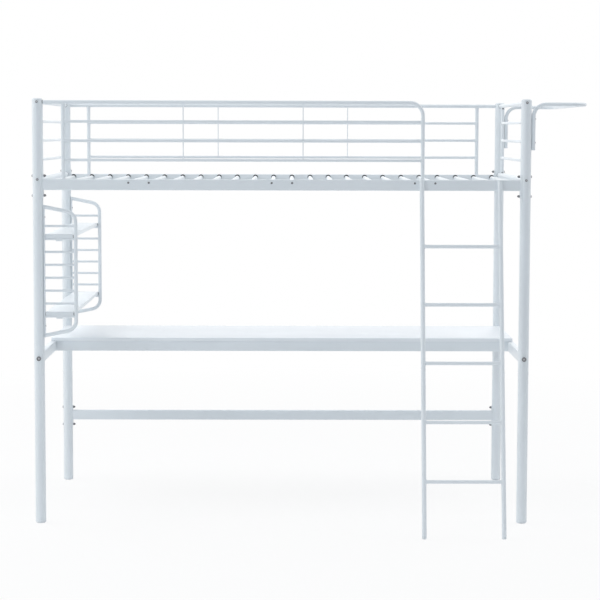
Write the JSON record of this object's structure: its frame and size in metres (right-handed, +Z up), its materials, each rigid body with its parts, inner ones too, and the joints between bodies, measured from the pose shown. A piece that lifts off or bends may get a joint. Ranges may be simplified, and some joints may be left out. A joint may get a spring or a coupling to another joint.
{
  "type": "loft bed with desk",
  "caption": "High single bed of white steel tube with guard rails, slatted base, leaning ladder, full-length desk, lift-off shelves on a rod rack and a bent hanging rail at the foot end.",
  "frame": {"origin": "middle of the bounding box's footprint, on the floor", "axes": "+X along the bed from the shelf end to the hanging rail end, -Y towards the ladder side, +Z up"},
  "size_m": [2.3132, 1.3784, 1.781],
  "materials": {
    "frame": "satin cool-white powder coat",
    "board": "smooth white melamine on board",
    "plastic": "moulded, fine matt",
    "bolts": "dark zinc"
  },
  "bodies": {
    "bed": {"post_front_left": "frame", "post_front_right": "frame", "post_back_left": "frame", "post_back_right": "frame", "cap_front_left": "plastic", "cap_front_right": "plastic", "cap_back_left": "plastic", "cap_back_right": "plastic", "foot_front_left": "plastic", "foot_front_right": "plastic", "foot_back_left": "plastic", "foot_back_right": "plastic", "front_rail": "frame", "back_rail": "frame", "lower_back_beam": "frame", "slat_01": "frame", "slat_02": "frame", "slat_03": "frame", "slat_04": "frame", "slat_05": "frame", "slat_06": "frame", "slat_07": "frame", "slat_08": "frame", "slat_09": "frame", "slat_10": "frame", "slat_11": "frame", "slat_12": "frame", "slat_13": "frame", "slat_14": "frame", "slat_15": "frame", "slat_16": "frame", "slat_17": "frame", "slat_18": "frame", "slat_19": "frame", "slat_20": "frame", "slat_21": "frame", "slat_22": "frame", "slat_23": "frame", "slat_24": "frame", "front_guard": "frame", "back_guard": "frame", "end_frame_left": "frame", "end_frame_right": "frame", "desk_side_beam_left": "frame", "desk_side_beam_right": "frame", "desk_front_beam": "frame", "desk_back_beam": "frame", "desktop": "board", "desk_bolt_front_left": "bolts", "desk_bolt_front_right": "bolts", "desk_bolt_back_left": "bolts", "desk_bolt_back_right": "bolts", "rack_frame_front": "frame", "rack_frame_back": "frame", "hanger_rack": "frame", "ladder": "frame", "ladder_foot_left": "plastic", "ladder_foot_right": "plastic"},
    "shelf_upper": {"shelf_upper": "frame"},
    "shelf_lower": {"shelf_lower": "frame"}
  },
  "joints": [
    {"name": "shelf_upper_lift", "type": "slide", "parent": "bed", "child": "shelf_upper", "axis": [0, 0, 1], "range_m": [0, 0.025]},
    {"name": "shelf_lower_lift", "type": "slide", "parent": "bed", "child": "shelf_lower", "axis": [0, 0, 1], "range_m": [0, 0.025]}
  ]
}
